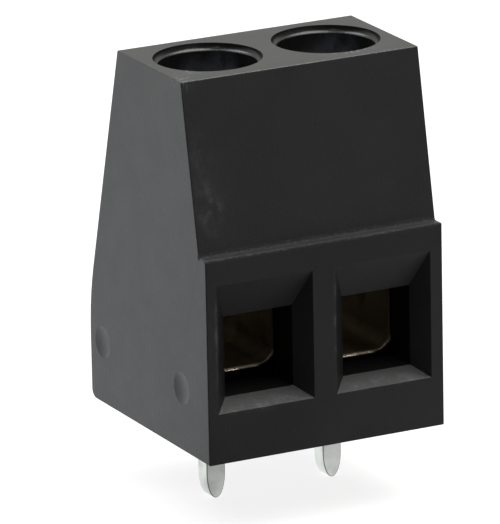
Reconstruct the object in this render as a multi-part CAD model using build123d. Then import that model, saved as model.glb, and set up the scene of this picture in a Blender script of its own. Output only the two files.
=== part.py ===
from build123d import *
import os
from math import acos, degrees

# Two-pole screw terminal for a printed circuit board, of the rising-cage kind.
# Origin: on the board, midway between the two solder pins. +X runs from pole to pole,
# +Y to the back, +Z up; the wires enter from the front, along +Y. All sizes in mm.

# Poles, from left to right, and how far each cage stands above its open stop.
CAGE_LIFT = {"left": 0.52, "right": 0.26}
PITCH = 5.08

# Housing outline, seen from the side.
DEPTH = 10.15
HEIGHT = 14.7
LEDGE_Z = 8.1
LEDGE_DEPTH = 0.54
LEDGE_FILLET = 0.1
TOP_SETBACK = 1.75
TOP_DEPTH = 5.4
BACK_BEND_Z = 4.05
BACK_BEND_RADIUS = 10.0
HEEL_RADIUS = 0.35
EDGE_RADIUS = 0.05

# Depths measured from the front face.
PIN_SETBACK = 4.9
SCREW_SETBACK = 4.5

# Wire entry: a rectangular funnel, a little left of its pole, that narrows to a throat.
MOUTH_WIDTH = 4.12
MOUTH_SHIFT = -0.05
MOUTH_FLOOR_Z = 1.99
MOUTH_HEIGHT = 5.08
FUNNEL_DEPTH = 0.72
THROAT_WIDTH = 2.92
THROAT_FLOOR_Z = 2.4
THROAT_HEIGHT = 3.2

# Clamping cage: a rectangular brass tube with a thick threaded roof.
CAGE_WIDTH = 4.05
CAGE_LENGTH = 4.3
CAGE_SIDE = 0.6
CAGE_FLOOR = 0.9
CAGE_ROOF = 1.5
CAGE_INNER_CORNER = 0.55
CAGE_OUTER_CORNER = 0.7
CAGE_EDGE = 0.1

# Contact, bent from one strip: tongue, back leg, foot and solder pin.
STRIP = 0.75
TONGUE_WIDTH = 2.3
BEND_RADIUS = 0.25
PIN_WIDTH = 0.8
PIN_LENGTH = 3.0
PIN_POINT = 1.0
BARB_BITE = 0.03
BARB_LENGTH = 0.45
BARB_COUNT = 2

# Clamping screw, M2.5, with a slotted cheese head.
SCREW_DIAMETER = 2.5
HEAD_DIAMETER = 4.15
HEAD_HEIGHT = 1.6
HEAD_ROUND = 0.25
SLOT_WIDTH = 0.8
SLOT_DEPTH = 0.9
SLOT_TURN = {"left": 25, "right": -40}
POINT_CHAMFER = 0.35

# Driver shaft above the head.
DRIVER_BORE = 3.86
COVE_WIDTH = 0.18
COVE_DEPTH = 0.28

# Shallow round dimples on the left side.
DIMPLE_SETBACKS = (2.25, 9.05)
DIMPLE_Z = 2.5
DIMPLE_DIAMETER = 1.3
DIMPLE_DEPTH = 0.11

# Clearances.
CAGE_PLAY = 0.05          # cage to chamber, each side
THREAD_PLAY = 0.04        # screw to cage, radial
HEAD_PLAY = 0.05          # screw head to its chamber, radial and above
TONGUE_PLAY = 0.05        # throat roof to tongue
STOP_PLAY = 0.1           # cage to tongue and to foot, at either end of its travel
TIP_PLAY = 0.02           # screw point to tongue
LEG_PLAY = 0.1            # cage to back leg
FOOT_PLAY = 0.05          # foot to pocket, each side

# Derived places.
POLES = list(CAGE_LIFT)
WIDTH = PITCH * len(POLES)
POLE_X = {name: PITCH * (i - (len(POLES) - 1) / 2) for i, name in enumerate(POLES)}
FRONT_Y = -PIN_SETBACK
BACK_Y = FRONT_Y + DEPTH
SCREW_Y = FRONT_Y + SCREW_SETBACK
CAGE_FRONT_Y = SCREW_Y - CAGE_LENGTH / 2
CAGE_BACK_Y = SCREW_Y + CAGE_LENGTH / 2
CHAMBER_WIDTH = CAGE_WIDTH + 2 * CAGE_PLAY
CHAMBER_FRONT_Y = CAGE_FRONT_Y - CAGE_PLAY
LEG_FRONT_Y = CAGE_BACK_Y + LEG_PLAY
LEG_BACK_Y = LEG_FRONT_Y + STRIP

TONGUE_Z = THROAT_FLOOR_Z + THROAT_HEIGHT + TONGUE_PLAY
TONGUE_TOP_Z = TONGUE_Z + STRIP
OPEN_CAGE_Z = THROAT_FLOOR_Z - CAGE_FLOOR
OPEN_ROOF_Z = TONGUE_TOP_Z + STOP_PLAY
CAGE_HEIGHT = OPEN_ROOF_Z + CAGE_ROOF - OPEN_CAGE_Z
CAGE_TRAVEL = TONGUE_Z - STOP_PLAY - THROAT_FLOOR_Z
FOOT_TOP_Z = OPEN_CAGE_Z - STOP_PLAY

CHAMBER_TOP_Z = OPEN_CAGE_Z + CAGE_HEIGHT + CAGE_TRAVEL + STOP_PLAY
HEAD_Z = CHAMBER_TOP_Z + HEAD_PLAY
HEAD_TOP_Z = HEAD_Z + HEAD_HEIGHT
LIP_Z = HEAD_TOP_Z + HEAD_PLAY


def side_profile():
    """Housing outline in the YZ plane: straight front with a ledge, leaning walls above it."""
    top_front = (FRONT_Y + TOP_SETBACK, HEIGHT)
    top_back = (FRONT_Y + TOP_SETBACK + TOP_DEPTH, HEIGHT)
    ledge = (FRONT_Y + LEDGE_DEPTH, LEDGE_Z)
    bend = (BACK_Y, BACK_BEND_Z)
    with BuildSketch(Plane.YZ) as profile:
        with BuildLine():
            Polyline(
                (FRONT_Y, 0), (FRONT_Y, LEDGE_Z), ledge, top_front, top_back, bend, (BACK_Y, 0),
                close=True,
            )
        make_face()
        for corner, radius in (
            (bend, BACK_BEND_RADIUS), (ledge, LEDGE_FILLET), ((BACK_Y, 0), HEEL_RADIUS),
        ):
            fillet(profile.vertices().sort_by_distance((*corner, 0))[0], radius)
    return profile.sketch


def outer_body():
    """Solid block of the side profile, with its edges broken except round the board face."""
    block = extrude(side_profile(), WIDTH / 2, both=True)
    crossing = block.edges().filter_by(Axis.X)
    sharp = [e for e in crossing if e.center().Z > 0 and not is_ledge_or_bend(e)]
    sides = block.faces().filter_by(Axis.X)
    rims = [e for face in sides for e in face.edges() if e.center().Z > 0]
    return fillet(sharp + rims, EDGE_RADIUS)


def is_ledge_or_bend(edge):
    """True for the tangent lines where the ledge fillet and the back bend begin and end."""
    y, z = edge.center().Y, edge.center().Z
    at_front = abs(z - LEDGE_Z) < 2 * LEDGE_FILLET and y > FRONT_Y + EDGE_RADIUS
    at_back = y > FRONT_Y + TOP_SETBACK + TOP_DEPTH + EDGE_RADIUS and z < HEIGHT
    return at_front or at_back


def front_plane(y, z):
    """Plane across Y, facing the front, with its origin at this height over X = 0."""
    return Plane(origin=(0, y, z), x_dir=(1, 0, 0), z_dir=(0, -1, 0))


def funnel():
    """Loft from the rectangular mouth to the narrower throat, and the throat on to the cage."""
    mouth_plane = front_plane(FRONT_Y, MOUTH_FLOOR_Z + MOUTH_HEIGHT / 2)
    throat_plane = front_plane(FRONT_Y + FUNNEL_DEPTH, THROAT_FLOOR_Z + THROAT_HEIGHT / 2)
    mouth = mouth_plane * Pos(MOUTH_SHIFT, 0) * Rectangle(MOUTH_WIDTH, MOUTH_HEIGHT)
    throat = throat_plane * Rectangle(THROAT_WIDTH, THROAT_HEIGHT)
    cone = loft([mouth, throat], ruled=True)
    passage = extrude(throat, CHAMBER_FRONT_Y - FRONT_Y - FUNNEL_DEPTH, dir=(0, 1, 0))
    return cone + passage


def block_between(low, high):
    """Box from its lowest to its highest corner."""
    size = [b - a for a, b in zip(low, high)]
    return Pos(*low) * Box(*size, align=(Align.MIN, Align.MIN, Align.MIN))


def chamber():
    """Pocket open to the board, in which the cage slides, with a slot behind it for the leg."""
    half = CHAMBER_WIDTH / 2
    cage_room = block_between((-half, CHAMBER_FRONT_Y, 0), (half, CAGE_BACK_Y + CAGE_PLAY, CHAMBER_TOP_Z))
    leg_room = block_between((-half, CAGE_BACK_Y, 0), (half, LEG_BACK_Y, TONGUE_TOP_Z + TONGUE_PLAY))
    return cage_room + leg_room


def shaft():
    """Round shaft: head chamber, narrower driver bore that holds the head in, cove at its mouth."""
    upward = (Align.CENTER, Align.CENTER, Align.MIN)
    head_room = Cylinder(HEAD_DIAMETER / 2 + HEAD_PLAY, LIP_Z - CHAMBER_TOP_Z, align=upward)
    bore_radius = DRIVER_BORE / 2
    with BuildPart() as driver:
        with BuildSketch(Plane.XZ):
            with BuildLine():
                EllipticalCenterArc(
                    (bore_radius, HEIGHT), COVE_WIDTH, COVE_DEPTH, start_angle=270, arc_size=90
                )
                Polyline(
                    (bore_radius + COVE_WIDTH, HEIGHT), (0, HEIGHT), (0, LIP_Z),
                    (bore_radius, LIP_Z), (bore_radius, HEIGHT - COVE_DEPTH),
                )
            make_face()
        revolve(axis=Axis.Z)
    return Pos(0, SCREW_Y, CHAMBER_TOP_Z) * head_room + Pos(0, SCREW_Y, 0) * driver.part


def dimple_cutters():
    """Spherical caps at the dimples' places, each across the YZ plane and bulging along +X."""
    sphere = (DIMPLE_DIAMETER**2 / 4 + DIMPLE_DEPTH**2) / (2 * DIMPLE_DEPTH)
    back_x = -DIMPLE_DEPTH / 2
    spread = degrees(acos(1 - (DIMPLE_DEPTH - back_x) / sphere))
    with BuildPart() as cap:
        with BuildSketch(Plane.XY):
            with BuildLine():
                rim = CenterArc((DIMPLE_DEPTH - sphere, 0), sphere, 0, spread)
                Polyline(rim @ 1, (back_x, 0), rim @ 0)
            make_face()
        revolve(axis=Axis.X)
    return [Pos(0, FRONT_Y + setback, DIMPLE_Z) * cap.part for setback in DIMPLE_SETBACKS]


def housing():
    """Moulded housing, one piece."""
    body = outer_body()
    for x in POLE_X.values():
        for cut in (funnel(), chamber(), shaft()):
            body -= Pos(x, 0, 0) * cut
    for dimple in dimple_cutters():
        body -= Pos(-WIDTH / 2, 0, 0) * dimple
    return body


def cage():
    """Clamping cage at its open stop: a tube along Y, with a plain bore for the thread."""
    centre = front_plane(CAGE_BACK_Y, OPEN_CAGE_Z + CAGE_HEIGHT / 2)
    opening_height = CAGE_HEIGHT - CAGE_FLOOR - CAGE_ROOF
    opening_centre = Pos(0, (CAGE_FLOOR - CAGE_ROOF) / 2)
    outside = extrude(centre * RectangleRounded(CAGE_WIDTH, CAGE_HEIGHT, CAGE_OUTER_CORNER), CAGE_LENGTH)
    opening = RectangleRounded(CAGE_WIDTH - 2 * CAGE_SIDE, opening_height, CAGE_INNER_CORNER)
    tube = outside - extrude(centre * opening_centre * opening, CAGE_LENGTH)
    ends = tube.faces().filter_by(Axis.Y)
    tube = chamfer([e for face in ends for wire in face.inner_wires() for e in wire.edges()], CAGE_EDGE)
    downward = (Align.CENTER, Align.CENTER, Align.MAX)
    thread = Cylinder(SCREW_DIAMETER / 2 + THREAD_PLAY, CAGE_ROOF + CAGE_INNER_CORNER, align=downward)
    return tube - Pos(0, SCREW_Y, OPEN_CAGE_Z + CAGE_HEIGHT) * thread


def strip_profile():
    """Edge view of the bent strip in the YZ plane: tongue, leg, foot and pin."""
    inner, outer = BEND_RADIUS, BEND_RADIUS + STRIP
    pin_front, pin_back = -STRIP / 2, STRIP / 2
    foot_z = FOOT_TOP_Z - STRIP
    tongue_front = CAGE_FRONT_Y + CAGE_EDGE
    with BuildSketch(Plane.YZ) as profile:
        with BuildLine():
            Polyline(
                (tongue_front, TONGUE_TOP_Z), (LEG_BACK_Y, TONGUE_TOP_Z), (LEG_BACK_Y, foot_z),
                (pin_back, foot_z), (pin_back, -PIN_LENGTH), (pin_front, -PIN_LENGTH),
                (pin_front, FOOT_TOP_Z), (LEG_FRONT_Y, FOOT_TOP_Z), (LEG_FRONT_Y, TONGUE_Z),
                (tongue_front, TONGUE_Z), close=True,
            )
        make_face()
        for corner, radius in (
            ((LEG_BACK_Y, TONGUE_TOP_Z), outer), ((LEG_FRONT_Y, TONGUE_Z), inner),
            ((LEG_BACK_Y, foot_z), outer), ((LEG_FRONT_Y, FOOT_TOP_Z), inner),
            ((pin_front, FOOT_TOP_Z), outer), ((pin_back, foot_z), inner),
        ):
            fillet(profile.vertices().sort_by_distance((*corner, 0))[0], radius)
    return profile.sketch


def pin_outline():
    """Front view of the pin: parallel edges that end in half an ellipse."""
    half = PIN_WIDTH / 2
    point_z = PIN_POINT - PIN_LENGTH
    top = FOOT_TOP_Z + STRIP
    with BuildSketch(Plane.XZ) as outline:
        with BuildLine():
            Polyline((half, point_z), (half, top), (-half, top), (-half, point_z))
            EllipticalCenterArc((0, point_z), half, PIN_POINT, start_angle=180, arc_size=180)
        make_face()
    return outline.sketch


def barbs(foot_half):
    """Teeth along the foot's side edges, which bite into the pocket walls."""
    reach = FOOT_PLAY + BARB_BITE
    first = LEG_BACK_Y - BEND_RADIUS - STRIP
    teeth = []
    for side in (-1, 1):
        for n in range(BARB_COUNT):
            start = first - n * BARB_LENGTH
            tooth = Polygon(
                (side * foot_half, start), (side * (foot_half + reach), start),
                (side * foot_half, start - BARB_LENGTH), align=None,
            )
            teeth.append(Pos(0, 0, FOOT_TOP_Z - STRIP) * extrude(tooth, STRIP, dir=(0, 0, 1)))
    return teeth


def contact():
    """Tinned contact, bent from one strip; the pin is cut narrow from the foot."""
    half = CHAMBER_WIDTH / 2 - FOOT_PLAY
    folded = extrude(strip_profile(), half, both=True)
    shoulder_z = TONGUE_Z - 2 * BEND_RADIUS
    neck_y = STRIP / 2 + BEND_RADIUS
    reach = LEG_BACK_Y - FRONT_Y
    tongue_room = Box(TONGUE_WIDTH, 2 * reach, 2 * reach)
    above = block_between((-half, -reach, shoulder_z), (half, reach, HEIGHT))
    below = block_between((-half, -reach, -PIN_LENGTH), (half, neck_y, FOOT_TOP_Z + STRIP))
    pin = extrude(pin_outline(), reach, both=True)
    folded = folded - (above - tongue_room) - (below - pin)
    for tooth in barbs(half):
        folded += tooth
    return folded


def screw():
    """Slotted clamping screw on the Z axis, its point just above the tongue."""
    radius, point_z = SCREW_DIAMETER / 2, TONGUE_TOP_Z + TIP_PLAY
    with BuildPart() as turned:
        with BuildSketch(Plane.XZ) as half_section:
            with BuildLine():
                Polyline(
                    (0, point_z), (radius - POINT_CHAMFER, point_z), (radius, point_z + POINT_CHAMFER),
                    (radius, HEAD_Z), (HEAD_DIAMETER / 2, HEAD_Z), (HEAD_DIAMETER / 2, HEAD_TOP_Z),
                    (0, HEAD_TOP_Z), close=True,
                )
            make_face()
            rim = half_section.vertices().sort_by_distance((HEAD_DIAMETER / 2, HEAD_TOP_Z, 0))[0]
            fillet(rim, HEAD_ROUND)
        revolve(axis=Axis.Z)
        with Locations((0, 0, HEAD_TOP_Z)):
            Box(SLOT_WIDTH, 2 * HEAD_DIAMETER, 2 * SLOT_DEPTH, mode=Mode.SUBTRACT)
    return turned.part


def main():
    """Writes one STEP file for each piece."""
    os.makedirs("parts", exist_ok=True)
    export_step(housing(), "parts/housing.step")
    for name, x in POLE_X.items():
        export_step(Pos(x, 0, 0) * contact(), f"parts/contact_{name}.step")
        export_step(Pos(x, 0, CAGE_LIFT[name]) * cage(), f"parts/cage_{name}.step")
        export_step(Pos(x, SCREW_Y, 0) * Rot(0, 0, SLOT_TURN[name]) * screw(), f"parts/screw_{name}.step")


main()
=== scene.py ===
import logging
import math
from collections.abc import Callable
from dataclasses import dataclass
from enum import Enum

import bmesh
import bpy
import numpy as np
from mathutils import Matrix, Vector


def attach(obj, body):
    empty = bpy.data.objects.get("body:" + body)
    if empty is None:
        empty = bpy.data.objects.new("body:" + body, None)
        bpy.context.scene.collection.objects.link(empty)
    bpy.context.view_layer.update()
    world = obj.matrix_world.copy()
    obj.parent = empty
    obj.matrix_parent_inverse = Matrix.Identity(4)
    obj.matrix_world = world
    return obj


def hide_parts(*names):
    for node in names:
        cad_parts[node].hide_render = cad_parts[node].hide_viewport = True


# Looks of a two-pole screw terminal for a printed circuit board: a black moulded housing with a
# wire funnel and a screw shaft for each pole, brass clamping cages that ride on their screws, and
# tinned contacts whose pins stand out below. +X runs from pole to pole, +Y to the back, +Z up,
# z = 0 on the board. Sizes in the classes are in millimetres, and meshes are in metres.

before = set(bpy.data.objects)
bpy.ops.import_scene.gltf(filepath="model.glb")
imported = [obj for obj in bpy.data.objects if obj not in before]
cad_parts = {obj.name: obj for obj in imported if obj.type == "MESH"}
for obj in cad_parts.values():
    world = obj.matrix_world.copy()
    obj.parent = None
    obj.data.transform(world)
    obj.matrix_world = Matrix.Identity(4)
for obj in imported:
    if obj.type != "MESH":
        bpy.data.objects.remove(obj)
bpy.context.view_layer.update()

MM = 0.001
LOG = logging.getLogger("screw_terminal")

Rgb = tuple[float, float, float]
Point = tuple[float, float, float]
Pair = tuple[float, float]
Array = np.ndarray


# ---------- Meshes ----------


def mesh_object(name: str, points: Array, faces: Array) -> bpy.types.Object:
    """Makes an object of faces that all have the same number of sides.

    Args:
        name: The object's and the mesh's name.
        points: One row of x, y and z in metres for each vertex.
        faces: One row of vertex numbers for each face, counterclockwise from outside.

    Returns:
        The new object, at the origin, linked to the scene.
    """
    mesh = bpy.data.meshes.new(name)
    corners, sides = faces.size, faces.shape[1]
    mesh.vertices.add(len(points))
    mesh.vertices.foreach_set("co", points.astype(np.float32).ravel())
    mesh.loops.add(corners)
    mesh.loops.foreach_set("vertex_index", faces.astype(np.int32).ravel())
    mesh.polygons.add(len(faces))
    mesh.polygons.foreach_set("loop_start", np.arange(0, corners, sides, dtype=np.int32))
    mesh.polygons.foreach_set("use_smooth", np.ones(len(faces), dtype=bool))
    mesh.update(calc_edges=True)
    mesh.validate()
    made = bpy.data.objects.new(name, mesh)
    bpy.context.scene.collection.objects.link(made)
    return made


def merged_triangles(node: bpy.types.Object) -> tuple[Array, Array]:
    """Reads a CAD node's loose triangles and joins the corners that coincide.

    Corners whose coordinates agree after rounding to a tenth of a micrometre become one vertex,
    and triangles that lose a corner that way are left out.

    Args:
        node: The CAD node's object.

    Returns:
        The joined points, and the triangles as rows of three vertex numbers.
    """
    mesh = node.data
    points = np.empty(len(mesh.vertices) * 3, dtype=np.float32)
    mesh.vertices.foreach_get("co", points)
    corners = np.empty(len(mesh.loops), dtype=np.int32)
    mesh.loops.foreach_get("vertex_index", corners)
    grid = np.round(points.reshape(-1, 3) / 1e-7).astype(np.int64)
    _, first, number = np.unique(grid, axis=0, return_index=True, return_inverse=True)
    triangles = number.ravel()[corners].reshape(-1, 3)
    a, b, c = triangles.T
    whole = (a != b) & (b != c) & (c != a)
    return points.reshape(-1, 3)[first], triangles[whole]


def face_normals(points: Array, triangles: Array) -> Array:
    """Gives each triangle's unit normal, the cross product of two of its sides.

    Args:
        points: Vertex positions.
        triangles: Rows of three vertex numbers.

    Returns:
        One unit vector for each triangle.
    """
    a, b, c = (points[triangles[:, k]] for k in range(3))
    normal = np.cross(b - a, c - a)
    length = np.linalg.norm(normal, axis=1, keepdims=True)
    return normal / np.maximum(length, 1e-20)


def mark_creases(
    piece: bpy.types.Object, points: Array, triangles: Array, limit: Callable[[Array], Array]
) -> None:
    """Keeps an edge sharp where its two triangles turn by more than the limit there.

    The turn is the angle between the two normals. Each triangle gives three edges, the two rows
    with the same pair of vertices are brought together by sorting, and an edge with one triangle
    stays sharp.

    Args:
        piece: The object made of these points and triangles.
        points: Vertex positions.
        triangles: Rows of three vertex numbers.
        limit: Takes edge midpoints in millimetres and returns the angle in degrees for each.
    """
    normals = face_normals(points, triangles)
    sides = np.concatenate([triangles[:, [0, 1]], triangles[:, [1, 2]], triangles[:, [2, 0]]])
    owner = np.tile(np.arange(len(triangles)), 3)
    low, high = sides.min(axis=1).astype(np.int64), sides.max(axis=1).astype(np.int64)
    key = low * len(points) + high
    order = np.argsort(key, kind="stable")
    key, owner = key[order], owner[order]
    pair = np.flatnonzero(key[1:] == key[:-1])
    turn = np.einsum("ij,ij->i", normals[owner[pair]], normals[owner[pair + 1]])
    found = dict(zip(key[pair].tolist(), np.degrees(np.arccos(np.clip(turn, -1, 1))).tolist()))

    mesh = piece.data
    ends = np.empty(len(mesh.edges) * 2, dtype=np.int32)
    mesh.edges.foreach_get("vertices", ends)
    ends = ends.reshape(-1, 2).astype(np.int64)
    edge_key = ends.min(axis=1) * len(points) + ends.max(axis=1)
    angle = np.array([found.get(k, 180.0) for k in edge_key.tolist()])
    middle = (points[ends[:, 0]] + points[ends[:, 1]]) / 2 / MM
    sharp = angle > limit(middle)
    flags = mesh.attributes.get("sharp_edge")
    flags = flags or mesh.attributes.new("sharp_edge", "BOOLEAN", "EDGE")
    flags.data.foreach_set("value", sharp)


def weight_normals(piece: bpy.types.Object) -> None:
    """Lets large faces set the normals at their corners, so that only small roundings shade.

    Args:
        piece: The piece, whose sharp edges stay sharp.
    """
    weighted = piece.modifiers.new("even_shading", "WEIGHTED_NORMAL")
    weighted.mode = "FACE_AREA_WITH_ANGLE"
    weighted.weight = 50
    weighted.keep_sharp = True


def tube_triangles(rings: int, around: int) -> Array:
    """Joins rings of points into a closed tube.

    Vertex number i * around + j is point j of ring i. Quad (i, j) joins rings i and i + 1 and
    columns j and j + 1, with the last column joined to the first, and is split along the
    diagonal from its first corner.

    Args:
        rings: How many rings there are.
        around: How many points each ring has, counterclockwise as seen from the last ring.

    Returns:
        Rows of three vertex numbers that face outwards.
    """
    i, j = np.meshgrid(np.arange(rings - 1), np.arange(around), indexing="ij")
    below, above = i * around, (i + 1) * around
    following = (j + 1) % around
    quads = [below + j, below + following, above + following, above + j]
    quads = np.stack(quads, axis=-1).reshape(-1, 4)
    return np.concatenate([quads[:, [0, 1, 2]], quads[:, [0, 2, 3]]])


def fan(ring: Array, centre: int, upward: bool) -> Array:
    """Closes a ring with triangles to its centre.

    Args:
        ring: The ring's vertex numbers, counterclockwise from above.
        centre: The centre's vertex number.
        upward: True if the cap faces up, False if it faces down.

    Returns:
        Rows of three vertex numbers.
    """
    following = np.roll(ring, -1)
    middle = np.full(len(ring), centre)
    order = (ring, following, middle) if upward else (following, ring, middle)
    return np.stack(order, axis=1)


def whole_faced(node: str, name: str, flat_turn: float = 0.5) -> bpy.types.Object:
    """Makes a piece from a CAD node, with neighbouring triangles of one plane as whole faces.

    Args:
        node: The CAD node's name.
        name: The piece's name.
        flat_turn: The angle in degrees up to which two triangles count as flat.

    Returns:
        The piece.
    """
    piece = mesh_object(name, *merged_triangles(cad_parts[node]))
    work = bmesh.new()
    work.from_mesh(piece.data)
    turn = math.radians(flat_turn)
    bmesh.ops.dissolve_limit(work, angle_limit=turn, verts=work.verts, edges=work.edges)
    work.to_mesh(piece.data)
    work.free()
    return piece


def round_edges(piece: bpy.types.Object, radius: float, turn: float, slot: int = -1) -> None:
    """Rounds the edges of a piece.

    Args:
        piece: The piece.
        radius: The rounding's width in millimetres.
        turn: The angle in degrees above which an edge is rounded.
        slot: The material slot of the rounded strips, or -1 for that of the faces beside them.
    """
    rounding = piece.modifiers.new("broken_edges", "BEVEL")
    rounding.width = radius * MM
    rounding.segments = 2
    rounding.limit_method = "ANGLE"
    rounding.angle_limit = math.radians(turn)
    rounding.use_clamp_overlap = True
    rounding.material = slot


# ---------- Materials ----------


Value = float | int | Rgb | tuple[float, float, float, float] | bpy.types.NodeSocket


class Graph:
    """The shader nodes of one material or of the world."""

    def __init__(
        self, tree: bpy.types.NodeTree, material: bpy.types.Material | None = None
    ) -> None:
        """Clears a node tree and keeps it.

        Args:
            tree: The node tree.
            material: The material that the tree belongs to, or None for the world's tree.
        """
        self.tree = tree
        self.material = material
        self.tree.nodes.clear()

    @classmethod
    def of_material(cls, name: str) -> "Graph":
        """Makes a new material.

        Args:
            name: The material's name.

        Returns:
            The graph of its nodes.
        """
        made = bpy.data.materials.new(name)
        made.use_nodes = True
        return cls(made.node_tree, made)

    def node(
        self, kind: str, inputs: dict[str | int, Value] | None = None, **settings: object
    ) -> bpy.types.Node:
        """Adds one node.

        Args:
            kind: The node's type, such as ShaderNodeMath.
            inputs: A number, colour or socket for each input, by name or number.
            settings: The node's own properties.

        Returns:
            The new node.
        """
        made = self.tree.nodes.new(kind)
        for key, value in settings.items():
            setattr(made, key, value)
        for key, value in (inputs or {}).items():
            self.feed(made.inputs[key], value)
        return made

    def feed(self, socket: bpy.types.NodeSocket, value: Value) -> None:
        """Links a socket to another, or sets its own number or colour.

        Args:
            socket: The input to feed.
            value: An output socket, a number, or a colour of three or four parts.
        """
        if isinstance(value, bpy.types.NodeSocket):
            self.tree.links.new(value, socket)
        elif isinstance(value, tuple) and socket.type == "RGBA" and len(value) == 3:
            socket.default_value = (*value, 1.0)
        else:
            socket.default_value = value

    def math(self, operation: str, *values: Value, clamp: bool = False) -> bpy.types.NodeSocket:
        """Adds a Math node on up to three values and returns its result."""
        inputs = dict(enumerate(values))
        return self.node("ShaderNodeMath", inputs, operation=operation, use_clamp=clamp).outputs[0]

    def vector(self, operation: str, *values: Value) -> bpy.types.NodeSocket:
        """Adds a Vector Math node and returns its vector."""
        inputs = dict(enumerate(values))
        return self.node("ShaderNodeVectorMath", inputs, operation=operation).outputs[0]

    def shader(self, kind: str, inputs: dict[str | int, Value]) -> bpy.types.NodeSocket:
        """Adds a node whose type is ShaderNode and this kind, and returns its shader."""
        return self.node(f"ShaderNode{kind}", inputs).outputs[0]

    def place(self) -> bpy.types.NodeSocket:
        """Gives the surface point in millimetres."""
        here = self.node("ShaderNodeTexCoord").outputs["Object"]
        return self.vector("MULTIPLY", here, (1 / MM, 1 / MM, 1 / MM))

    def split(self, vector: Value) -> tuple[bpy.types.NodeSocket, ...]:
        """Gives a vector's x, y and z."""
        return tuple(self.node("ShaderNodeSeparateXYZ", {0: vector}).outputs)

    def noise(
        self,
        at: Value,
        scale: float,
        detail: float = 2.0,
        roughness: float = 0.5,
        stretch: Point = (1.0, 1.0, 1.0),
    ) -> bpy.types.NodeSocket:
        """Adds a noise pattern.

        Args:
            at: The point, in millimetres.
            scale: Waves per millimetre.
            detail: How many finer layers are added.
            roughness: How strong the finer layers are.
            stretch: Factors on x, y and z, below 1 where the pattern is drawn out.

        Returns:
            The noise, from 0 to 1.
        """
        where = at if stretch == (1, 1, 1) else self.vector("MULTIPLY", at, stretch)
        inputs = {"Vector": where, "Scale": scale, "Detail": detail, "Roughness": roughness}
        return self.node("ShaderNodeTexNoise", inputs).outputs["Fac"]

    def ramp(
        self, value: Value, low: float, high: float, to_low: float = 0.0, to_high: float = 1.0
    ) -> bpy.types.NodeSocket:
        """Maps low..high smoothly to to_low..to_high and holds the ends.

        Args:
            value: The number to map.
            low: Where the slope starts. It may be above high, and the slope then falls.
            high: Where the slope ends.
            to_low: The result at low.
            to_high: The result at high.

        Returns:
            The mapped number.
        """
        inputs = {
            "Value": value, "From Min": low, "From Max": high, "To Min": to_low, "To Max": to_high
        }
        made = self.node("ShaderNodeMapRange", inputs, interpolation_type="SMOOTHSTEP")
        return made.outputs["Result"]

    def blend(self, share: Value, first: Value, second: Value) -> bpy.types.NodeSocket:
        """Mixes two colours.

        Args:
            share: The second colour's share, from 0 to 1.
            first: The first colour.
            second: The second colour.

        Returns:
            The mixed colour.
        """
        made = self.node("ShaderNodeMix", data_type="RGBA", clamp_factor=True)
        self.feed(made.inputs["Factor"], share)
        self.feed(made.inputs[6], first)
        self.feed(made.inputs[7], second)
        return made.outputs[2]

    def bump(
        self, height: Value, distance: float, strength: float = 1.0, normal: Value | None = None
    ) -> bpy.types.NodeSocket:
        """Turns a height from 0 to 1 into a normal.

        Args:
            height: The height.
            distance: How high a height of 1 is, in millimetres.
            strength: The share of the effect.
            normal: The normal to start from, or None for the surface's own.

        Returns:
            The normal.
        """
        inputs = {"Height": height, "Distance": distance * MM, "Strength": strength}
        if normal is not None:
            inputs["Normal"] = normal
        return self.node("ShaderNodeBump", inputs).outputs["Normal"]

    def finish(self, **inputs: Value) -> bpy.types.Material:
        """Adds the Principled shader and the material's output.

        Args:
            inputs: The shader's inputs, with underscores for spaces.

        Returns:
            The finished material.
        """
        named = {key.replace("_", " "): value for key, value in inputs.items()}
        shader = self.node("ShaderNodeBsdfPrincipled", named)
        self.node("ShaderNodeOutputMaterial", {"Surface": shader.outputs[0]})
        return self.material


@dataclass(frozen=True)
class EdgeLine:
    """A straight edge along X on which the moulding is worn pale.

    The wear ends at the reach, in millimetres from the line. The strength is the worn colour's
    share on the line, and the roughening is added to the roughness there.
    """

    y: float
    z: float
    reach: float
    strength: float
    roughening: float = 0.0


@dataclass(frozen=True)
class ScuffOrSheenPatch:
    """A faint pale patch, an ellipsoid round a point, in millimetres. Some patches are real
    scuffs, and others are painted light: painted sheen, painted glints and a painted pool of light.

    Noise of the scale, in waves per millimetre, breaks it up: where the noise is below the first
    number of the cover there is no patch, and above the second the patch is whole.
    """

    centre: Point
    radii: Point
    strength: float
    scale: float = 2.2
    cover: Pair = (0.40, 0.75)
    # The default colour is the pale bluish grey of both the scuffs and the painted sheen.
    colour: Rgb = (0.060, 0.064, 0.080)


@dataclass(frozen=True)
class Grain:
    """A moulded relief: waves per millimetre, depth in millimetres, and share of the effect."""

    waves: float
    depth: float
    share: float


ERODED_GRAIN = Grain(11.0, 0.014, 1.0)
CORE_GRAIN = Grain(3.0, 0.004, 0.5)


class Polish(Enum):
    """How smooth the mould left the plastic, as its lowest and highest roughness."""

    ERODED = (0.445, 0.475)
    DULL = (0.60, 0.70)
    SOFT = (0.36, 0.40)
    SATIN = (0.24, 0.30)
    CORE = (0.12, 0.18)


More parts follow.
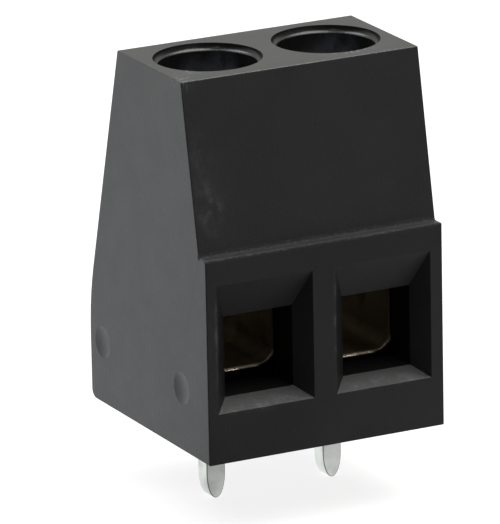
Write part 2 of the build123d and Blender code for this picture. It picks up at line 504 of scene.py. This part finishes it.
@dataclass(frozen=True)
class MouldedPolyamide:
    """Black polyamide as it leaves the mould: fine eroded texture outside, smooth on the cores."""

    name: str
    polish: Polish
    dark: Rgb = (0.0060, 0.0060, 0.0064)
    pale: Rgb = (0.0100, 0.0100, 0.0102)
    worn: Rgb = (0.105, 0.105, 0.130)
    gloss: float = 0.88
    edges: tuple[EdgeLine, ...] = ()
    patches: tuple[ScuffOrSheenPatch, ...] = ()

    def material(self) -> bpy.types.Material:
        """Builds the plastic.

        The colour drifts between two near blacks by the sum of a slow and a fine noise, and each
        patch, whether a real scuff or painted light, is mixed over it. Near an edge line, the
        nearness times a noise is the worn colour's share, and the nearness alone roughens the
        surface. The relief is fine noise in the bump, and the roughness varies slowly besides.

        Returns:
            The material.
        """
        graph = Graph.of_material(self.name)
        at = graph.place()
        drift = graph.noise(at, 0.35, 4, 0.6)
        mottle = graph.noise(at, 9.0, 3, 0.6)
        share = graph.ramp(graph.math("ADD", drift, mottle), 0.7, 1.3)
        colour = graph.blend(share, self.dark, self.pale)
        # Patches: real scuffs, and painted light where a patch stands for sheen, glints or lit
        # spots.
        for patch in self.patches:
            colour = graph.blend(self._patch_share(graph, at, patch), colour, patch.colour)
        roughness = graph.ramp(graph.noise(at, 0.9, 3, 0.6), 0.3, 0.7, *self.polish.value)
        for edge in self.edges:
            near = self._nearness(graph, at, edge)
            chips = graph.ramp(graph.noise(at, 6.0, 4, 0.75), 0.44, 0.62)
            chipped = graph.math("MULTIPLY", near, chips)
            share = graph.math("MULTIPLY", chipped, edge.strength, clamp=True)
            colour = graph.blend(share, colour, self.worn)
            roughness = graph.math("MULTIPLY_ADD", near, edge.roughening, roughness)
        grain = ERODED_GRAIN if self.polish is Polish.ERODED else CORE_GRAIN
        relief = graph.noise(at, grain.waves, 3, 0.7)
        return graph.finish(
            Base_Color=colour,
            Roughness=roughness,
            Normal=graph.bump(relief, grain.depth, grain.share),
            IOR=1.5,
            Specular_IOR_Level=self.gloss,
        )

    def _patch_share(self, graph: Graph, at: Value, patch: ScuffOrSheenPatch) -> bpy.types.NodeSocket:
        """Gives a patch's share, which falls with the length of the offset over the radii.

        Args:
            graph: The graph to build in.
            at: The point, in millimetres.
            patch: The patch, a real scuff or painted light.

        Returns:
            The share, from 0 to 1.
        """
        offset = graph.vector("SUBTRACT", at, patch.centre)
        scaled = graph.vector("DIVIDE", offset, patch.radii)
        measured = graph.node("ShaderNodeVectorMath", {0: scaled}, operation="LENGTH")
        body = graph.ramp(measured.outputs["Value"], 1.0, 0.1)
        broken = graph.ramp(graph.noise(at, patch.scale, 4, 0.65, (1, 1, 0.6)), *patch.cover)
        whole = graph.math("MULTIPLY", body, broken)
        return graph.math("MULTIPLY", whole, patch.strength, clamp=True)

    def _nearness(self, graph: Graph, at: Value, edge: EdgeLine) -> bpy.types.NodeSocket:
        """Gives the nearness to an edge line, by the root of dy squared plus dz squared.

        Args:
            graph: The graph to build in.
            at: The point, in millimetres.
            edge: The edge line.

        Returns:
            One within a fifth of the reach, none beyond the reach.
        """
        _, y, z = graph.split(at)
        across = graph.math("SUBTRACT", y, edge.y)
        above = graph.math("SUBTRACT", z, edge.z)
        square = graph.math(
            "ADD", graph.math("MULTIPLY", across, across), graph.math("MULTIPLY", above, above)
        )
        return graph.ramp(graph.math("SQRT", square), edge.reach, 0.2 * edge.reach)


@dataclass(frozen=True)
class DrawnBrass:
    """Drawn brass tube, brown partly from tarnish and partly from painted shade, with painted
    shade on its front end and a painted glint on its lower rim.

    Each pair gives where an effect is none and where it is full, in millimetres: depths behind
    the front end, distances to the right of the pole's middle, or heights above the tube's floor.
    """

    name: str
    front_y: float
    rim: float
    floor_z: float
    middle_x: float
    # bright is the painted glint's colour; dull and stained are darker than clean brass, partly
    # tarnish and partly painted shade.
    bright: Rgb = (0.97, 0.86, 0.61)
    dull: Rgb = (0.56, 0.47, 0.335)
    stained: Rgb = (0.40, 0.28, 0.205)
    # The next colour is painted shade on the front end and just behind it.
    end_shade: Rgb = (0.012, 0.010, 0.009)
    rim_fade: float = 0.02
    past_cut: Pair = (0.004, 0.012)
    # Painted shade reaches this far behind the front end, except under the glint.
    shade_depth: Pair = (0.06, 0.03)
    low_reach: Pair = (0.95, 0.55)
    low_height: Pair = (0.75, 0.30)
    corner_foot: Pair = (0.17, 0.27)
    corner_top: Pair = (0.52, 0.40)
    glint_polish: float = -0.32

    def material(self) -> bpy.types.Material:
        """Builds the brass.

        Stains are slow noise. Draw marks are noise drawn out eightfold along Y, which also sets
        the bump and part of the roughness. A narrow rim behind the front end is painted bright and
        smooth as a glint, and elsewhere the painted shade of the front end reaches further back.

        Returns:
            The material.
        """
        graph = Graph.of_material(self.name)
        at = graph.place()
        stain = graph.ramp(graph.noise(at, 0.6, 3, 0.55), 0.42, 0.68)
        marks = graph.noise(at, 9.0, 3, 0.6, (1, 0.12, 1))
        colour = graph.blend(stain, self.dull, self.stained)
        depth = graph.math("SUBTRACT", graph.split(at)[1], self.front_y)
        glinting = self._glint_share(graph, at)
        behind = graph.ramp(depth, *self.past_cut)
        rim = graph.math("MULTIPLY", behind, graph.ramp(depth, self.rim + self.rim_fade, self.rim))
        rim = graph.math("MULTIPLY", rim, glinting)
        # Painted glint on the rim.
        colour = graph.blend(rim, colour, self.bright)
        # Painted shade on the front end and just behind it, except where the glint lies.
        shade_behind = graph.math("SUBTRACT", graph.ramp(depth, *self.shade_depth), glinting, clamp=True)
        end_shaded = graph.math("MAXIMUM", graph.ramp(depth, *reversed(self.past_cut)), shade_behind)
        colour = graph.blend(end_shaded, colour, self.end_shade)
        drawn = graph.ramp(marks, 0.3, 0.7, 0.46, 0.54)
        return graph.finish(
            Base_Color=colour,
            Metallic=1.0,
            Roughness=graph.math("MULTIPLY_ADD", rim, self.glint_polish, drawn),
            Normal=graph.bump(marks, 0.004, 0.5),
        )

    def _glint_share(self, graph: Graph, at: Value) -> bpy.types.NodeSocket:
        """Tells where the rim carries its painted glint.

        The glint lies low in the tube as far as a little to the right of the pole's middle, and
        again in a band of heights on the corner's rounding. Patchy noise thins both.

        Args:
            graph: The graph to build in.
            at: The point, in millimetres.

        Returns:
            The share, from 0 to 1.
        """
        x, _, z = graph.split(at)
        along = graph.ramp(x, *(self.middle_x + reach for reach in self.low_reach))
        low = graph.math("MULTIPLY", along, self._by_height(graph, z, self.low_height))
        foot = self._by_height(graph, z, self.corner_foot)
        corner = graph.math("MULTIPLY", foot, self._by_height(graph, z, self.corner_top))
        patchy = graph.ramp(graph.noise(at, 1.6, 2), 0.38, 0.60, 0.35, 1.0)
        return graph.math("MULTIPLY", graph.math("MAXIMUM", low, corner), patchy)

    def _by_height(self, graph: Graph, z: Value, heights: Pair) -> bpy.types.NodeSocket:
        """Goes from none to one between two heights above the tube's floor."""
        return graph.ramp(z, *(self.floor_z + height for height in heights))


@dataclass(frozen=True)
class MattTin:
    """Matt electroplated tin on a stamped strip."""

    name: str
    plate: Rgb = (0.95, 0.96, 0.91)
    dull: Rgb = (0.82, 0.83, 0.79)

    def material(self) -> bpy.types.Material:
        """Builds the tin.

        Fine round crystals come from noise of a few hundredths of a millimetre, and slow noise
        dulls some areas. The stamping leaves faint lines along Z.

        Returns:
            The material.
        """
        graph = Graph.of_material(self.name)
        at = graph.place()
        cloud = graph.ramp(graph.noise(at, 1.1, 4, 0.6), 0.40, 0.70)
        lines = graph.noise(at, 8.0, 3, 0.6, (1, 1, 0.15))
        colour = graph.blend(cloud, self.plate, self.dull)
        crystals = graph.noise(at, 22.0, 3, 0.7)
        normal = graph.bump(lines, 0.006, 0.5, graph.bump(crystals, 0.003, 0.5))
        roughness = graph.ramp(cloud, 0.0, 1.0, 0.44, 0.56)
        return graph.finish(Base_Color=colour, Metallic=1.0, Roughness=roughness, Normal=normal)


@dataclass(frozen=True)
class ClearZinc:
    """Clear-passivated zinc plate on a turned steel screw."""

    name: str
    slot_z: float
    plate: Rgb = (0.30, 0.31, 0.32)
    tint: Rgb = (0.25, 0.27, 0.31)
    # The next colour is painted shade for all below the slot's upper edge.
    slot_shade: Rgb = (0.05, 0.05, 0.05)
    slot_shade_fade: float = 0.1

    def material(self) -> bpy.types.Material:
        """Builds the zinc.

        A faint bluish tint drifts over the plate, fine noise dulls it, and painted shade darkens
        all that lies deeper than the slot's upper edge.

        Returns:
            The material.
        """
        graph = Graph.of_material(self.name)
        at = graph.place()
        drift = graph.ramp(graph.noise(at, 0.9, 3, 0.6), 0.4, 0.7)
        colour = graph.blend(drift, self.plate, self.tint)
        # Painted shade: all that lies below the slot's upper edge is darkened.
        deep = graph.ramp(graph.split(at)[2], self.slot_z, self.slot_z - self.slot_shade_fade)
        colour = graph.blend(deep, colour, self.slot_shade)
        fine = graph.noise(at, 14.0, 3, 0.65)
        roughness = graph.ramp(fine, 0.3, 0.7, 0.42, 0.54)
        normal = graph.bump(fine, 0.004, 0.5)
        return graph.finish(Base_Color=colour, Metallic=1.0, Roughness=roughness, Normal=normal)


def dress(piece: bpy.types.Object, *materials: bpy.types.Material) -> None:
    """Gives a piece its material slots, and clears those that it had.

    Args:
        piece: The piece.
        materials: The materials, in the order of the slots.
    """
    piece.data.materials.clear()
    for one in materials:
        piece.data.materials.append(one)


# ---------- Sub-assemblies ----------


class Pole(Enum):
    """The two poles, by the ending of their nodes' names."""

    LEFT = "left"
    RIGHT = "right"


@dataclass(frozen=True)
class PolePlace:
    """Where a pole's parts stand at rest: its middle, and the floor of its cage's tube."""

    pole: Pole
    middle_x: float
    cage_floor_z: float


POLES = (PolePlace(Pole.LEFT, -2.54, 2.92), PolePlace(Pole.RIGHT, 2.54, 2.66))
SCREW_Y = -0.4


@dataclass
class Housing:
    """The moulded housing, one piece.

    A skin is how far inside an outer face the centre of a face has to lie to count as inside.
    """

    front_y: float = -4.9
    ledge_z: float = 8.1
    top_front_y: float = -3.15
    height: float = 14.7
    side_x: float = 5.08
    funnel_depth: float = 0.72
    funnel_wall: float = 0.1
    mouth_floor_z: float = 1.99
    mouth_top_z: float = 7.07
    throat_depth: float = 5.0
    throat_wall: float = 0.3
    side_mark_z: float = 2.5
    side_mark_radius: float = 0.7
    side_mark_depth: float = 0.2
    side_mark_front: float = 0.6
    shaft_radius: float = 2.2
    shaft_floor_z: float = 11.2
    cove_depth: float = 0.29
    top_skin: float = 0.002
    mark_skin: float = 0.003
    funnel_skin: float = 0.005
    throat_skin: float = 0.01
    smooth_turn: float = 50.0
    funnel_turn: float = 20.0
    mark_turn: float = 8.0
    turn_margin: float = 0.05
    mark_reach: float = 1.0

    def crease_limit(self, middle: Array) -> Array:
        """Gives the turn above which an edge stays sharp.

        Roundings are a few facets wide, so they smooth up to a wide angle, except round the
        funnels and the side marks, whose own faces meet at small angles.

        Args:
            middle: Edge midpoints in millimetres.

        Returns:
            The limit in degrees for each edge.
        """
        x, y, z = middle.T
        margin = self.turn_margin
        in_funnel = (
            (y < self.front_y + self.funnel_depth + margin)
            & (z > self.mouth_floor_z - margin) & (z < self.mouth_top_z + margin)
        )
        on_side = np.abs(np.abs(x) - self.side_x) < margin
        at_mark = on_side & (np.abs(z - self.side_mark_z) < self.mark_reach)
        return np.select([in_funnel, at_mark], [self.funnel_turn, self.mark_turn], self.smooth_turn)

    def finish_number(self, centres: Array) -> Array:
        """Tells which of the six finishes each face has.

        Smooth core pins made the screw shafts, whose coves are satin. The passages behind the
        funnels are dull and painted near black as shade. The side marks, which lie a little inside
        the left side, are soft. The funnels are painted a deeper black as shade, and all other
        faces are eroded.

        Args:
            centres: Face centres in millimetres.

        Returns:
            The place of each face's finish in the tuple that finishes() returns.
        """
        x, y, z = centres.T
        depth = y - self.front_y
        away = np.min([np.hypot(x - one.middle_x, y - SCREW_Y) for one in POLES], axis=0)
        in_shaft = (
            (away < self.shaft_radius)
            & (z > self.shaft_floor_z) & (z < self.height - self.top_skin)
        )
        in_cove = in_shaft & (z > self.height - self.cove_depth)
        in_throat = (
            (np.abs(x) < self.side_x - self.throat_wall)
            & (depth > self.funnel_depth + self.throat_skin) & (depth < self.throat_depth)
            & (z > self.throat_skin) & (z < self.mouth_top_z)
        )
        sunk = x + self.side_x
        in_mark = (
            (sunk > self.mark_skin) & (sunk < self.side_mark_depth)
            & (np.abs(z - self.side_mark_z) < self.side_mark_radius)
            & (depth > self.side_mark_front)
        )
        in_funnel = (
            (np.abs(x) < self.side_x - self.funnel_wall)
            & (depth > self.funnel_skin) & (depth < self.funnel_depth)
            & (z > self.mouth_floor_z) & (z < self.mouth_top_z)
        )
        return np.select([in_cove, in_shaft, in_throat, in_mark, in_funnel], [2, 1, 3, 4, 5], 0)

    def finishes(self) -> tuple[MouldedPolyamide, ...]:
        """Describes the plastic's finishes.

        Handling has scuffed the top and worn the ledge and the top's front edge pale. The mouths'
        patches are partly scuffs and partly painted light: a painted sheen on each left flank and a
        painted pool of light on each sill. The patches at the slope's left end are painted sheen.
        The glints are a painted reflection, a pale sheen painted on the walls of the screw shafts.
        The funnels are painted a deeper black, and the passages near black, as shade.

        Returns:
            The eroded, core, satin, dull, soft and funnel finishes, in the order of the slots.
        """
        # The mouths' patches: scuffs, with painted sheen on the left flanks and a painted pool of
        # light on the sills.
        scuffed_and_lit_mouths = (
            ScuffOrSheenPatch((-4.63, -4.85, 4.6), (0.16, 0.30, 3.0), 1.0),
            ScuffOrSheenPatch((0.45, -4.85, 4.6), (0.16, 0.30, 3.0), 1.0),
            ScuffOrSheenPatch((-2.6, -4.75, 2.1), (2.6, 0.6, 0.35), 0.9),
            ScuffOrSheenPatch((2.5, -4.75, 2.1), (2.6, 0.6, 0.35), 0.9),
        )
        speckle = (7.0, (0.50, 0.68), (0.16, 0.16, 0.16))
        bluish = (5.0, (0.46, 0.68), (0.11, 0.11, 0.12))
        sheen = (1.4, (0.25, 0.7), (0.10, 0.105, 0.13))
        wear = (
            EdgeLine(self.front_y + 0.03, self.ledge_z, 0.12, 0.30, 0.60),
            EdgeLine(self.front_y + 0.53, self.ledge_z + 0.03, 0.16, 0.22, 0.55),
            EdgeLine(self.top_front_y, self.height, 0.07, 0.3),
        )
        scuffs_and_sheen = (
            # The first two are painted sheen at the slope's left end; those on the top are real
            # scuffs.
            ScuffOrSheenPatch((-4.35, -4.0, 9.8), (0.8, 1.2, 1.5), 0.5),
            ScuffOrSheenPatch((-4.6, -3.6, 11.6), (0.7, 1.2, 2.0), 0.25),
            *scuffed_and_lit_mouths,
            ScuffOrSheenPatch((-3.90, -1.95, 14.7), (1.1, 0.55, 0.2), 1.3, *speckle),
            ScuffOrSheenPatch((2.60, -2.55, 14.7), (1.6, 0.35, 0.2), 1.3, *speckle),
            ScuffOrSheenPatch((-4.85, -2.8, 14.65), (0.6, 0.8, 0.5), 1.2, *bluish),
        )
        # Painted reflections: a pale sheen painted on the shafts' back walls.
        glints = (
            ScuffOrSheenPatch((-1.10, 1.10, 13.7), (0.9, 0.9, 1.1), 0.6, *sheen),
            ScuffOrSheenPatch((-2.10, 1.70, 13.6), (1.0, 0.8, 1.0), 0.35, *sheen),
            ScuffOrSheenPatch((3.90, 1.15, 13.7), (1.4, 1.3, 1.2), 0.5, *sheen),
        )
        # Painted shade: the passages are near black.
        passage = {"dark": (0.002, 0.002, 0.002), "pale": (0.003, 0.003, 0.003), "gloss": 0.20}
        # Painted shade: the funnels are a deeper black.
        deeper = {"dark": (0.0032, 0.0030, 0.0030), "pale": (0.0052, 0.0048, 0.0048), "gloss": 0.84}
        return (
            MouldedPolyamide("housing_polyamide", Polish.ERODED, edges=wear, patches=scuffs_and_sheen),
            MouldedPolyamide("core_polyamide", Polish.CORE, gloss=0.84, patches=glints),
            MouldedPolyamide("satin_polyamide", Polish.SATIN, gloss=0.54),
            MouldedPolyamide("passage_polyamide", Polish.DULL, **passage),
            MouldedPolyamide("mark_polyamide", Polish.SOFT, gloss=0.76),
            MouldedPolyamide("funnel_polyamide", Polish.ERODED, patches=scuffed_and_lit_mouths, **deeper),
        )

    def build(self) -> bpy.types.Object:
        """Makes the shell from the joined CAD faces and gives each face its finish.

        Returns:
            The finished shell.
        """
        points, triangles = merged_triangles(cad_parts["housing"])
        shell = mesh_object("housing_shell", points, triangles)
        mark_creases(shell, points, triangles, self.crease_limit)
        dress(shell, *(finish.material() for finish in self.finishes()))
        numbers = self.finish_number(points[triangles].mean(axis=1) / MM)
        shell.data.polygons.foreach_set("material_index", numbers.astype(np.int32))
        weight_normals(shell)
        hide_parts("housing")
        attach(shell, "housing")
        LOG.info("%s: %d triangles", shell.name, len(triangles))
        return shell


@dataclass
class SolderContact:
    """A contact bent from one strip: tongue, leg, foot and solder pin."""

    pole: Pole
    edge_round: float = 0.04
    corner_turn: float = 35.0
    sheared_plate: Rgb = (0.30, 0.31, 0.27)
    sheared_dull: Rgb = (0.22, 0.23, 0.20)

    def build(self) -> bpy.types.Object:
        """Makes the contact from the joined CAD faces, with its stamped edges rounded.

        Flat neighbours are joined into whole faces first, so that the rounding follows the
        strip's real edges. The rounded edges are darker, as shearing leaves them.

        Returns:
            The finished contact.
        """
        node = f"contact_{self.pole.value}"
        piece = whole_faced(node, f"{node}_strip")
        round_edges(piece, self.edge_round, self.corner_turn, slot=1)
        tin = MattTin(f"tin_{self.pole.value}")
        sheared = MattTin(f"sheared_{tin.name}", self.sheared_plate, self.sheared_dull)
        dress(piece, tin.material(), sheared.material())
        weight_normals(piece)
        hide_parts(node)
        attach(piece, "housing")
        LOG.info("%s: %d faces", piece.name, len(piece.data.polygons))
        return piece


@dataclass
class ClampingCage:
    """A clamping cage parted off rectangular brass tube."""

    pole: Pole
    middle_x: float
    floor_z: float
    front_y: float = -2.55
    # rim is the width of the painted glint behind the front end.
    rim: float = 0.045
    edge_round: float = 0.03
    corner_turn: float = 30.0

    def build(self) -> bpy.types.Object:
        """Makes the cage from the joined CAD faces, with the edges from its cutting broken.

        Returns:
            The finished cage.
        """
        node = f"cage_{self.pole.value}"
        piece = whole_faced(node, f"{node}_brass")
        round_edges(piece, self.edge_round, self.corner_turn)
        name = f"brass_{self.pole.value}"
        brass = DrawnBrass(name, self.front_y, self.rim, self.floor_z, self.middle_x)
        dress(piece, brass.material())
        weight_normals(piece)
        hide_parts(node)
        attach(piece, node)
        LOG.info("%s: %d faces", piece.name, len(piece.data.polygons))
        return piece


@dataclass
class ClampingScrew:
    """A slotted screw whose shank carries a helical thread."""

    pole: Pole
    x: float
    y: float = SCREW_Y
    major_radius: float = 1.25
    pitch: float = 0.45
    depth: float = 0.26
    flank_slope: float = 2.6
    crest_flat: float = 0.15
    point_z: float = 6.42
    point_chamfer: float = 0.35
    head_z: float = 11.3
    head_height: float = 1.6
    head_round: float = 0.3
    runout: float = 0.6
    overlap: float = 0.1
    seat_margin: float = 0.01
    rows_per_turn: int = 10
    around: int = 48
    crease: float = 40.0

    def thread(self) -> tuple[Array, Array]:
        """Works out the threaded shank as a closed tube that ends inside the head.

        The radius at angle t and height z is the major radius less the depth times a wave. With
        the phase as z over the pitch minus t over a full turn, less its whole part, the wave is
        the slope times the phase's distance from a half, less the crest's flat, kept between 0
        and 1. So a crest climbs one pitch in each turn. The wave fades out below the head, and
        near the point the radius is no more than the cone of the chamfer.

        Returns:
            Points in metres, and triangles.
        """
        turns = (self.head_z - self.point_z) / self.pitch
        rows = int(turns * self.rows_per_turn)
        z = np.linspace(self.point_z, self.head_z + self.overlap, rows)
        t = np.arange(self.around) * 2 * np.pi / self.around
        height, angle = np.meshgrid(z, t, indexing="ij")
        phase = (height / self.pitch - angle / (2 * np.pi)) % 1.0
        groove = np.clip(self.flank_slope * np.abs(phase - 0.5) - self.crest_flat, 0.0, 1.0)
        fade = np.clip((self.head_z - height) / self.runout, 0.0, 1.0)
        radius = self.major_radius - self.depth * groove * fade
        cone = self.major_radius - self.point_chamfer + (height - self.point_z)
        radius = np.minimum(radius, cone)
        x, y = self.x + radius * np.cos(angle), self.y + radius * np.sin(angle)
        ring = np.stack([x, y, height], axis=-1)
        ends = np.array([[self.x, self.y, z[0]], [self.x, self.y, z[-1]]])
        points = np.concatenate([ring.reshape(-1, 3), ends]) * MM
        count = len(z) * self.around
        first, last = np.arange(self.around), np.arange(count - self.around, count)
        faces = [
            tube_triangles(len(z), self.around),
            fan(first, count, upward=False),
            fan(last, count + 1, upward=True),
        ]
        return points, np.concatenate(faces)

    def head(self) -> tuple[Array, Array]:
        """Takes the slotted head from the joined CAD faces and closes its underside.

        The triangles that lie wholly at or above the head's seat are kept. The circle that the
        shank leaves in the seat is the set of vertices at the shank's radius, sorted by angle,
        and a fan to the axis closes it.

        Returns:
            Points in metres, and triangles.
        """
        points, triangles = merged_triangles(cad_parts[f"screw_{self.pole.value}"])
        high = points[:, 2] > (self.head_z - self.seat_margin) * MM
        kept = triangles[high[triangles].all(axis=1)]
        dx, dy = points[:, 0] / MM - self.x, points[:, 1] / MM - self.y
        on_seat = np.abs(points[:, 2] / MM - self.head_z) < self.seat_margin
        at_shank = np.hypot(dx, dy) < self.major_radius + self.seat_margin
        rim = np.flatnonzero(on_seat & at_shank)
        rim = rim[np.argsort(np.arctan2(dy[rim], dx[rim]))]
        centre = np.array([[self.x, self.y, self.head_z]]) * MM
        points = np.concatenate([points, centre])
        kept = np.concatenate([kept, fan(rim, len(points) - 1, upward=False)])
        used, number = np.unique(kept, return_inverse=True)
        return points[used], number.reshape(-1, 3)

    def crease_limit(self, middle: Array) -> Array:
        """Gives the turn in degrees above which an edge stays sharp, the same everywhere."""
        return np.full(len(middle), self.crease)

    def build(self) -> bpy.types.Object:
        """Joins head and thread into one piece.

        Returns:
            The finished screw.
        """
        head_points, head_faces = self.head()
        thread_points, thread_faces = self.thread()
        points = np.concatenate([head_points, thread_points])
        faces = np.concatenate([head_faces, thread_faces + len(head_points)])
        node = f"screw_{self.pole.value}"
        piece = mesh_object(f"{node}_threaded", points, faces)
        mark_creases(piece, points, faces, self.crease_limit)
        slot_z = self.head_z + self.head_height - self.head_round
        dress(piece, ClearZinc(f"zinc_{self.pole.value}", slot_z).material())
        weight_normals(piece)
        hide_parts(node)
        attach(piece, node)
        LOG.info("%s: %d triangles", piece.name, len(faces))
        return piece


# ---------- Studio ----------


@dataclass
class Softbox:
    """A rectangular lamp that points at the object, with its place, size and aim in metres."""

    name: str
    place: Point
    size: Pair
    power: float
    colour: Rgb
    aim: Point = (0.0, 0.0, 0.007)

    def build(self) -> bpy.types.Object:
        """Makes the lamp, in metres and watts, turned so that it faces its aim.

        Returns:
            The lamp.
        """
        light = bpy.data.lights.new(self.name, "AREA")
        light.shape = "RECTANGLE"
        light.size, light.size_y = self.size
        light.energy = self.power
        light.color = self.colour
        lamp = bpy.data.objects.new(self.name, light)
        lamp.location = self.place
        away = Vector(self.place) - Vector(self.aim)
        lamp.rotation_euler = away.to_track_quat("Z", "Y").to_euler()
        bpy.context.scene.collection.objects.link(lamp)
        return lamp


@dataclass
class Camera:
    """A long lens turned round a target near the middle of the housing, by angles in degrees."""

    azimuth: float = -26.97
    elevation: float = 16.74
    roll: float = -1.12
    distance: float = 277.2
    aside: float = -0.54
    down: float = -1.89
    target: Point = (0.0, 0.1, 8.0)
    focal_length: float = 494.312977
    sensor: float = 36.0

    def build(self) -> bpy.types.Object:
        """Makes the camera and sets it as the scene's.

        The view direction follows from azimuth and elevation, right and up are turned by the
        roll, and the camera is then moved sideways and down in its own plane.

        Returns:
            The camera.
        """
        a, e, r = (math.radians(v) for v in (self.azimuth, self.elevation, self.roll))
        back = Vector((math.sin(a) * math.cos(e), -math.cos(a) * math.cos(e), math.sin(e)))
        right = Vector((0, 0, 1)).cross(back).normalized()
        up = back.cross(right)
        turned_right = math.cos(r) * right + math.sin(r) * up
        turned_up = math.cos(r) * up - math.sin(r) * right
        place = Vector(self.target) + back * self.distance
        place = (place + turned_right * self.aside + turned_up * self.down) * MM
        lens = bpy.data.cameras.new("camera")
        lens.sensor_width = self.sensor
        lens.lens = self.focal_length
        lens.clip_start, lens.clip_end = 0.01, 10.0
        camera = bpy.data.objects.new("camera", lens)
        turn = Matrix((turned_right, turned_up, back)).transposed().to_4x4()
        camera.matrix_world = Matrix.Translation(place) @ turn
        bpy.context.scene.collection.objects.link(camera)
        bpy.context.scene.camera = camera
        return camera


@dataclass
class Studio:
    """A white surround with three lamps, in which gloss sees a room that dims to the front.

    The pairs give where the room turns from front to behind and from left to right, the floor's
    in millimetres and the world's in parts of a unit direction. The rise is the share of y and
    the share of z in how far behind a direction is.
    """

    floor_z: float = -3.0
    floor_reach: float = 900.0
    floor_behind: Pair = (-10.5, 4.0)
    floor_right: Pair = (-4.0, 14.0)
    floor_tones: tuple[Rgb, Rgb] = ((0.80, 0.80, 0.80), (0.82, 0.82, 0.82))
    veil: Rgb = (0.30, 0.30, 0.30)
    glow: float = 0.83
    world_behind: Pair = (-0.05, 0.5)
    world_right: Pair = (0.1, 0.8)
    world_rise: Pair = (0.85, 0.55)
    surround: float = 0.36
    slant: float = 0.3
    turn: float = 0.6
    front_right: Rgb = (0.165, 0.165, 0.165)
    front_left: Rgb = (0.007, 0.007, 0.009)
    wall: Rgb = (0.71, 0.72, 0.68)
    paper: Rgb = (0.96, 0.98, 1.00)
    white: Rgb = (1.0, 1.0, 1.0)

    def build(self) -> None:
        """Builds floor, world, lamps and camera, and sets the plain view transform."""
        self.floor()
        self.world()
        warm, cool = (1.0, 0.99, 0.97), (0.95, 0.975, 1.0)
        for box in (
            Softbox("overhead_softbox", (0.12, -0.068, 0.43), (0.45, 0.32), 2.15, warm),
            Softbox("back_softbox", (-0.195, 0.217, 0.413), (0.25, 0.25), 1.0, cool),
            Softbox("left_softbox", (-0.24, -0.23, 0.31), (0.08, 0.08), 0.04, warm),
        ):
            box.build()
        Camera().build()
        bpy.context.scene.view_settings.view_transform = "Standard"

    def room(
        self, graph: Graph, behind: Value, x: Value, y: Value, right: Pair, back: Rgb
    ) -> bpy.types.NodeSocket:
        """Gives the room that gloss sees: grey to the front right, dark to the front left.

        Args:
            graph: The graph to build in.
            behind: One where the place is behind the object, none where it is in front.
            x: The place's x, or the direction's.
            y: The same for y. What is to the right grows with x less the turn times y.
            right: Where the room is wholly left and where it is wholly right.
            back: The colour behind the object.

        Returns:
            The colour.
        """
        across = graph.math("SUBTRACT", x, graph.math("MULTIPLY", y, self.turn))
        to_right = graph.ramp(across, *right)
        front = graph.blend(to_right, self.front_left, self.front_right)
        return graph.blend(behind, front, back)

    def floor(self) -> bpy.types.Object:
        """Makes a flat square floor under the pins' points.

        To the camera the floor is part glow and part matt, so that it is white with the object's
        soft shadow on it. Gloss sees it as part of the room, never brighter than white, and to
        everything else it is matt and pale.

        Returns:
            The floor.
        """
        corners = np.array([[-1, -1, 0], [1, -1, 0], [1, 1, 0], [-1, 1, 0]]) * self.floor_reach
        corners[:, 2] = self.floor_z
        piece = mesh_object("floor", corners * MM, np.array([[0, 1, 2, 3]]))
        graph = Graph.of_material("floor_paper")
        at = graph.place()
        x, y, _ = graph.split(at)
        behind = graph.ramp(graph.math("MULTIPLY_ADD", x, self.slant, y), *self.floor_behind)
        room = self.room(graph, behind, x, y, self.floor_right, self.paper)
        tone = graph.blend(graph.ramp(graph.noise(at, 0.05, 2), 0.4, 0.6), *self.floor_tones)
        matt = graph.shader("BsdfDiffuse", {"Color": tone})
        veil = graph.shader("BsdfDiffuse", {"Color": self.veil})
        glow = graph.shader("Emission", {"Color": self.white, "Strength": self.glow})
        mirrored = graph.shader("Emission", {"Color": room, "Strength": 1.0})
        seen = graph.shader("AddShader", {0: veil, 1: glow})
        path = graph.node("ShaderNodeLightPath").outputs
        other = graph.shader("MixShader", {0: path["Is Glossy Ray"], 1: matt, 2: mirrored})
        mixed = graph.shader("MixShader", {0: path["Is Camera Ray"], 1: other, 2: seen})
        graph.node("ShaderNodeOutputMaterial", {"Surface": mixed})
        dress(piece, graph.material)
        return piece

    def world(self) -> None:
        """Surrounds the scene: white to the camera, a room to gloss, and weaker to the rest.

        A direction is behind by a weighted sum of y and z, less the slant where x is negative.
        """
        world = bpy.data.worlds.new("surround")
        world.use_nodes = True
        bpy.context.scene.world = world
        graph = Graph(world.node_tree)
        x, y, z = graph.split(graph.node("ShaderNodeTexCoord").outputs["Generated"])
        back_share, up_share = self.world_rise
        up = graph.math("MULTIPLY", z, up_share)
        rise = graph.math("ADD", graph.math("MULTIPLY", y, back_share), up)
        rise = graph.math("MULTIPLY_ADD", graph.math("MINIMUM", x, 0.0), self.slant, rise)
        behind = graph.ramp(rise, *self.world_behind)
        room = self.room(graph, behind, x, y, self.world_right, self.wall)
        path = graph.node("ShaderNodeLightPath").outputs
        even = graph.shader("Background", {"Color": self.white, "Strength": self.surround})
        gloss = graph.shader("Background", {"Color": room, "Strength": 1.0})
        white = graph.shader("Background", {"Color": self.white, "Strength": 1.0})
        lit = graph.shader("MixShader", {0: path["Is Glossy Ray"], 1: even, 2: gloss})
        clear = graph.math("ADD", path["Is Camera Ray"], path["Is Transmission Ray"], clamp=True)
        seen = graph.shader("MixShader", {0: clear, 1: lit, 2: white})
        graph.node("ShaderNodeOutputWorld", {"Surface": seen})


def main() -> None:
    """Builds the studio, then the housing and both poles."""
    logging.basicConfig(level=logging.INFO, format="%(name)s: %(message)s")
    Studio().build()
    Housing().build()
    for place in POLES:
        SolderContact(place.pole).build()
        ClampingCage(place.pole, place.middle_x, place.cage_floor_z).build()
        ClampingScrew(place.pole, place.middle_x).build()


if __name__ == "__main__":
    main()
